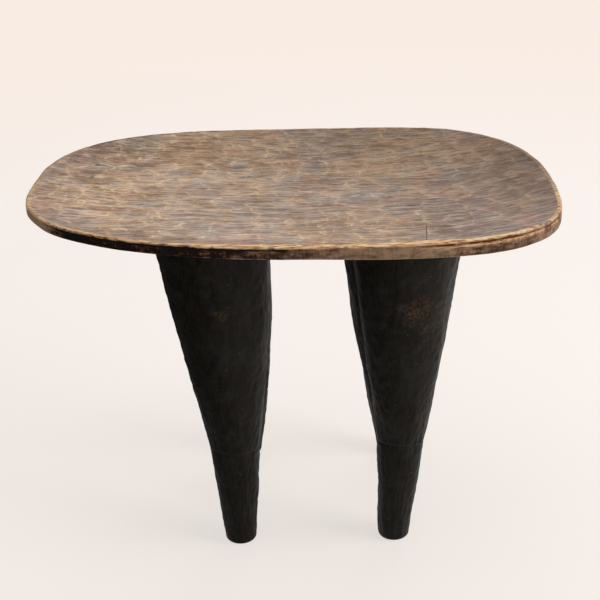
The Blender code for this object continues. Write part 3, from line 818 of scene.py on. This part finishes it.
    # painted highlight along the lower edge
    lowEdge = addNode(tree, "ShaderNodeAttribute", {"attribute_name": "lowEdge"})
    lighter = addNode(tree, "ShaderNodeMath", {"operation": "MULTIPLY_ADD"}, {1: 0.22}, {0: lowEdge.outputs["Fac"], 2: darker.outputs[0]})
    tree.links.new(lighter.outputs[0], crustRamp.inputs["Fac"])
    edge = addNode(tree, "ShaderNodeAttribute", {"attribute_name": "edgeWear"})
    crevice = addNode(tree, "ShaderNodeAttribute", {"attribute_name": "crevice"})
    edgeShare = addNode(tree, "ShaderNodeMath", {"operation": "MULTIPLY"}, {}, {0: edge.outputs["Fac"], 1: shares["chipped"]})
    edgeGap = addNode(tree, "ShaderNodeMath", {"operation": "SUBTRACT"}, {}, {0: edge.outputs["Fac"], 1: edgeShare.outputs[0]})
    # palest patches of the rubbed edge, partly painted highlight
    edgePale = addNode(tree, "ShaderNodeMath", {"operation": "MULTIPLY"}, {}, {0: edgeShare.outputs[0], 1: shares["rubbedEdgeAndHighlight"]})
    colour = addNode(tree, "ShaderNodeMix", {"data_type": "RGBA"}, {},
                     {0: patinaAndRearShade.outputs["Fac"], 6: colour, 7: crustRamp.outputs["Color"]}).outputs[2]
    for share, hexColour in ((edgeShare.outputs[0], look["edge"]), (edgePale.outputs[0], look["edgePale"]),
                             (edgeGap.outputs[0], look["edgeGap"]),
                             (crevice.outputs["Fac"], look["crevice"])):
        colour = addNode(tree, "ShaderNodeMix", {"data_type": "RGBA"}, {7: toLinear(hexColour)},
                         {0: share, 6: colour}).outputs[2]
    tree.links.new(colour, shader.inputs["Base Color"])

    gloss = addNode(tree, "ShaderNodeMapRange", inputs={"To Min": 0.46, "To Max": 0.70}, links={"Value": noises["streak"]})
    tree.links.new(gloss.outputs["Result"], shader.inputs["Roughness"])
    shader.inputs["Specular IOR Level"].default_value = 0.12
    relief = addNode(tree, "ShaderNodeMath", {"operation": "ADD"}, {}, {0: noises["streak"], 1: noises["fibre"]})
    bump = addNode(tree, "ShaderNodeBump", inputs={"Strength": 0.55, "Distance": 0.0004}, links={"Height": relief.outputs[0]})
    tree.links.new(bump.outputs["Normal"], shader.inputs["Normal"])
    return material


legWood = {
    "dark": "#0d0b08",
    "body": "#14110c",
    "pale": "#1f1b14",
    "smoky": "#282827",
    "red": "#4c3926",
    "speck": "#8d8274",
    "grainLong": 0.020,
    "grainWide": 0.0027,
    "rubs": (((0.130, -0.140, 0.291), 0.026), ((-0.064, -0.150, 0.297), 0.012)),     # where the black is rubbed thin
}


# The same hardwood, blackened by smoke and hands to a close satin skin, with long upright cuts
# and a little red-brown wood where the black has rubbed thin.
def makeLegWood():
    look = legWood
    material, tree, shader = newMaterial("blackenedHardwoodSatin")
    place = addNode(tree, "ShaderNodeTexCoord").outputs["Object"]
    upright = addNode(tree, "ShaderNodeMapping", inputs={
        "Scale": (1 / look["grainWide"], 1 / look["grainWide"], 1 / look["grainLong"])}, links={"Vector": place})
    grain = addNode(tree, "ShaderNodeTexNoise", inputs={"Scale": 1.0, "Detail": 4.0, "Roughness": 0.6},
                    links={"Vector": upright.outputs["Vector"]})
    tone = addNode(tree, "ShaderNodeValToRGB", links={"Fac": grain.outputs["Fac"]})
    setRamp(tone, [(0.32, look["dark"]), (0.52, look["body"]), (0.74, look["pale"])])
    colour = tone.outputs["Color"]
    ridge = addNode(tree, "ShaderNodeAttribute", {"attribute_name": "ridgeWear"})
    ridgeShare = addNode(tree, "ShaderNodeMath", {"operation": "MULTIPLY"}, {1: 0.35}, {0: ridge.outputs["Fac"]})
    patch = addNode(tree, "ShaderNodeTexNoise", inputs={"Scale": 1 / 0.018, "Detail": 4.0, "Roughness": 0.65},
                    links={"Vector": place})
    smoke = addNode(tree, "ShaderNodeMapRange", inputs={"From Min": 0.48, "From Max": 0.70, "To Max": 0.55},
                    links={"Value": patch.outputs["Fac"]})
    pits = addNode(tree, "ShaderNodeTexNoise", inputs={"Scale": 1 / 0.0028, "Detail": 3.0, "Roughness": 0.65},
                   links={"Vector": place})
    layers = [(smoke.outputs["Result"], look["smoky"]), (ridgeShare.outputs[0], look["pale"])]
    for centre, reach in look["rubs"]:
        away = addNode(tree, "ShaderNodeVectorMath", {"operation": "DISTANCE"}, {1: centre}, {0: place})
        spread = addNode(tree, "ShaderNodeMapRange", inputs={"From Max": 2 * reach, "To Min": 0.62, "To Max": 0.0},
                         links={"Value": away.outputs["Value"]})
        near = addNode(tree, "ShaderNodeMath", {"operation": "ADD"}, {}, {0: spread.outputs["Result"], 1: patch.outputs["Fac"]})
        rub = addNode(tree, "ShaderNodeMapRange", inputs={"From Min": 0.76, "From Max": 1.15},
                      links={"Value": near.outputs[0]})
        pitted = addNode(tree, "ShaderNodeMapRange", inputs={"From Min": 0.42, "From Max": 0.62},
                         links={"Value": pits.outputs["Fac"], "To Max": rub.outputs["Result"]})
        layers.append((pitted.outputs["Result"], look["red"]))
    dust = addNode(tree, "ShaderNodeTexNoise", inputs={"Scale": 1 / 0.0022, "Detail": 2.0}, links={"Vector": place})
    dustShare = addNode(tree, "ShaderNodeMapRange", inputs={"From Min": 0.72, "From Max": 0.78, "To Max": 0.45},
                        links={"Value": dust.outputs["Fac"]})
    line = addNode(tree, "ShaderNodeAttribute", {"attribute_name": "ankleLine"})
    scored = addNode(tree, "ShaderNodeMapRange", inputs={"From Min": 0.55, "From Max": 1.0, "To Max": 0.7},
                     links={"Value": line.outputs["Fac"]})
    layers += [(dustShare.outputs["Result"], look["speck"]), (scored.outputs["Result"], look["smoky"])]
    for share, hexColour in layers:
        colour = addNode(tree, "ShaderNodeMix", {"data_type": "RGBA"}, {7: toLinear(hexColour)},
                         {0: share, 6: colour}).outputs[2]
    tree.links.new(colour, shader.inputs["Base Color"])
    gloss = addNode(tree, "ShaderNodeMapRange", inputs={"To Min": 0.40, "To Max": 0.54}, links={"Value": grain.outputs["Fac"]})
    tree.links.new(gloss.outputs["Result"], shader.inputs["Roughness"])
    shader.inputs["Specular IOR Level"].default_value = 0.10
    relief = addNode(tree, "ShaderNodeMath", {"operation": "MULTIPLY_ADD"}, {1: 0.9}, {0: pits.outputs["Fac"], 2: grain.outputs["Fac"]})
    bump = addNode(tree, "ShaderNodeBump", inputs={"Strength": 0.7, "Distance": 0.0006}, links={"Height": relief.outputs[0]})
    tree.links.new(bump.outputs["Normal"], shader.inputs["Normal"])
    return material


wedgeWood = {"pale": "#cfae7c", "line": "#a47f4f", "grainLong": 0.02, "grainWide": 0.0012}


# Split softer wood, left raw: pale and dry, with straight grain along its height.
def makeWedgeWood():
    look = wedgeWood
    material, tree, shader = newMaterial("splitWedgeWoodRaw")
    place = addNode(tree, "ShaderNodeTexCoord").outputs["Object"]
    upright = addNode(tree, "ShaderNodeMapping", inputs={
        "Scale": (1 / look["grainWide"], 1 / look["grainWide"], 1 / look["grainLong"])}, links={"Vector": place})
    grain = addNode(tree, "ShaderNodeTexNoise", inputs={"Scale": 1.0, "Detail": 3.0}, links={"Vector": upright.outputs["Vector"]})
    tone = addNode(tree, "ShaderNodeValToRGB", links={"Fac": grain.outputs["Fac"]})
    setRamp(tone, [(0.35, look["line"]), (0.6, look["pale"])])
    tree.links.new(tone.outputs["Color"], shader.inputs["Base Color"])
    shader.inputs["Roughness"].default_value = 0.68
    return material


seat = makeSeat()
legs = [makeLeg(where, form) for where, form in legForms.items()]
seat.data.materials.append(makeTopWood())
legMaterial = makeLegWood()
for leg in legs:
    leg.data.materials.append(legMaterial)
wedgeMaterial = makeWedgeWood()
for name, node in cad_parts.items():
    if name.startswith("wedge_"):
        node.data.materials.clear()
        node.data.materials.append(wedgeMaterial)
print("materials done")

studio = {
    "floor": "#fcf5f0",
    "floorGlow": 0.70,         # share of the floor that the camera sees unshaded, all of it far away
    "floorFade": (0.5, 2.2),
    "backdrop": "#f9ece3",
    "ambient": 0.22,
    "darkLeft": (0.13, -0.34, 0.94),     # X where the floor starts to darken, where it is darkest, how much
    "eye": (0.0484, -1.2597, 0.8488),
    "aim": (0.0062, 0.0017, 0.2428),
    "roll": -1.30,
    "lens": 78.0,
    "lamps": (
        ("overheadPanel", (-0.3, 0.4, 3.2), (0, 0, 0.3), 3.0, 38.0),
        ("rightWindow", (2.8, -0.6, 1.4), (0, 0, 0.25), 1.8, 72.0),
        ("rearWall", (0.8, 2.9, 1.35), (0, 0, 0.30), 2.4, 26.0),
    ),
}


# 1 for the rays that see the background itself, straight or in a reflection
def seenRays(tree):
    path = addNode(tree, "ShaderNodeLightPath")
    mirrored = addNode(tree, "ShaderNodeMath", {"operation": "MAXIMUM"}, {},
                       {0: path.outputs["Is Glossy Ray"], 1: path.outputs["Is Transmission Ray"]})
    return addNode(tree, "ShaderNodeMath", {"operation": "MAXIMUM"}, {},
                   {0: path.outputs["Is Camera Ray"], 1: mirrored.outputs[0]}).outputs[0]


# The room is darker on its left, which shows in the legs: mirrored rays see the floor there shaded.
def darkerLeft(tree, surface, place):
    across = addNode(tree, "ShaderNodeSeparateXYZ", links={"Vector": place}).outputs["X"]
    near, far, most = studio["darkLeft"]
    left = addNode(tree, "ShaderNodeMapRange", inputs={"From Min": near, "From Max": far, "To Max": most}, links={"Value": across})
    path = addNode(tree, "ShaderNodeLightPath")
    share = addNode(tree, "ShaderNodeMath", {"operation": "MULTIPLY"}, {},
                    {0: left.outputs["Result"], 1: path.outputs["Is Glossy Ray"]})
    dark = addNode(tree, "ShaderNodeEmission", inputs={"Strength": 0.0})
    return addNode(tree, "ShaderNodeMixShader", links={
        0: share.outputs[0], 1: surface, 2: dark.outputs["Emission"]}).outputs["Shader"]


def makeStudio():
    look = studio
    bm = bmesh.new()
    bmesh.ops.create_grid(bm, x_segments=1, y_segments=1, size=12.0)
    floor = meshObject("paleFloor", bm)
    material, tree, shader = newMaterial("palePaintedFloor")
    shader.inputs["Base Color"].default_value = toLinear(look["floor"])
    shader.inputs["Roughness"].default_value = 0.8
    shader.inputs["Specular IOR Level"].default_value = 0.1
    place = addNode(tree, "ShaderNodeTexCoord").outputs["Object"]
    away = addNode(tree, "ShaderNodeVectorMath", {"operation": "LENGTH"}, {}, {0: place})
    near, far = look["floorFade"]
    fade = addNode(tree, "ShaderNodeMapRange", {"interpolation_type": "SMOOTHSTEP"}, {"From Min": near, "From Max": far},
                   {"Value": away.outputs["Value"]}).outputs["Result"]
    tone = addNode(tree, "ShaderNodeMix", {"data_type": "RGBA"},
                   {6: toLinear(look["floor"]), 7: toLinear(look["backdrop"])}, {0: fade}).outputs[2]
    glow = addNode(tree, "ShaderNodeEmission", inputs={"Strength": 1.0}, links={"Color": tone})
    unshaded = addNode(tree, "ShaderNodeMapRange", inputs={"To Min": look["floorGlow"]}, links={"Value": fade})
    share = addNode(tree, "ShaderNodeMath", {"operation": "MULTIPLY"}, {}, {0: seenRays(tree), 1: unshaded.outputs["Result"]})
    seenFloor = addNode(tree, "ShaderNodeMixShader", links={
        0: share.outputs[0], 1: shader.outputs["BSDF"], 2: glow.outputs["Emission"]})
    tree.links.new(darkerLeft(tree, seenFloor.outputs["Shader"], place), tree.nodes["Material Output"].inputs["Surface"])
    floor.data.materials.append(material)

    world = bpy.data.worlds.new("brightRoom")
    bpy.context.scene.world = world
    world.use_nodes = True
    tree = world.node_tree
    back = tree.nodes["Background"]
    back.inputs["Color"].default_value = toLinear("#fffaf5")
    back.inputs["Strength"].default_value = look["ambient"]
    seen = addNode(tree, "ShaderNodeBackground", inputs={"Color": toLinear(look["backdrop"]), "Strength": 1.0})
    mixed = addNode(tree, "ShaderNodeMixShader", links={
        0: seenRays(tree), 1: back.outputs["Background"], 2: seen.outputs["Background"]})
    tree.links.new(mixed.outputs["Shader"], tree.nodes["World Output"].inputs["Surface"])

    for name, place, aim, size, power in look["lamps"]:
        lamp = bpy.data.lights.new(name, "AREA")
        lamp.shape = "SQUARE"
        lamp.size = size
        lamp.energy = power
        holder = bpy.data.objects.new(name, lamp)
        holder.location = place
        holder.rotation_euler = (Vector(aim) - Vector(place)).to_track_quat("-Z", "Y").to_euler()
        bpy.context.scene.collection.objects.link(holder)

    camera = bpy.data.cameras.new("photoCamera")
    camera.lens = look["lens"]
    camera.sensor_width = 36.0
    holder = bpy.data.objects.new("photoCamera", camera)
    holder.location = look["eye"]
    sight = (Vector(look["aim"]) - Vector(look["eye"])).to_track_quat("-Z", "Y")
    holder.rotation_mode = "QUATERNION"
    holder.rotation_quaternion = sight @ Quaternion((0, 0, 1), math.radians(look["roll"]))
    bpy.context.scene.collection.objects.link(holder)
    bpy.context.scene.camera = holder


makeStudio()
bpy.context.scene.view_settings.view_transform = "Standard"
print("studio done")
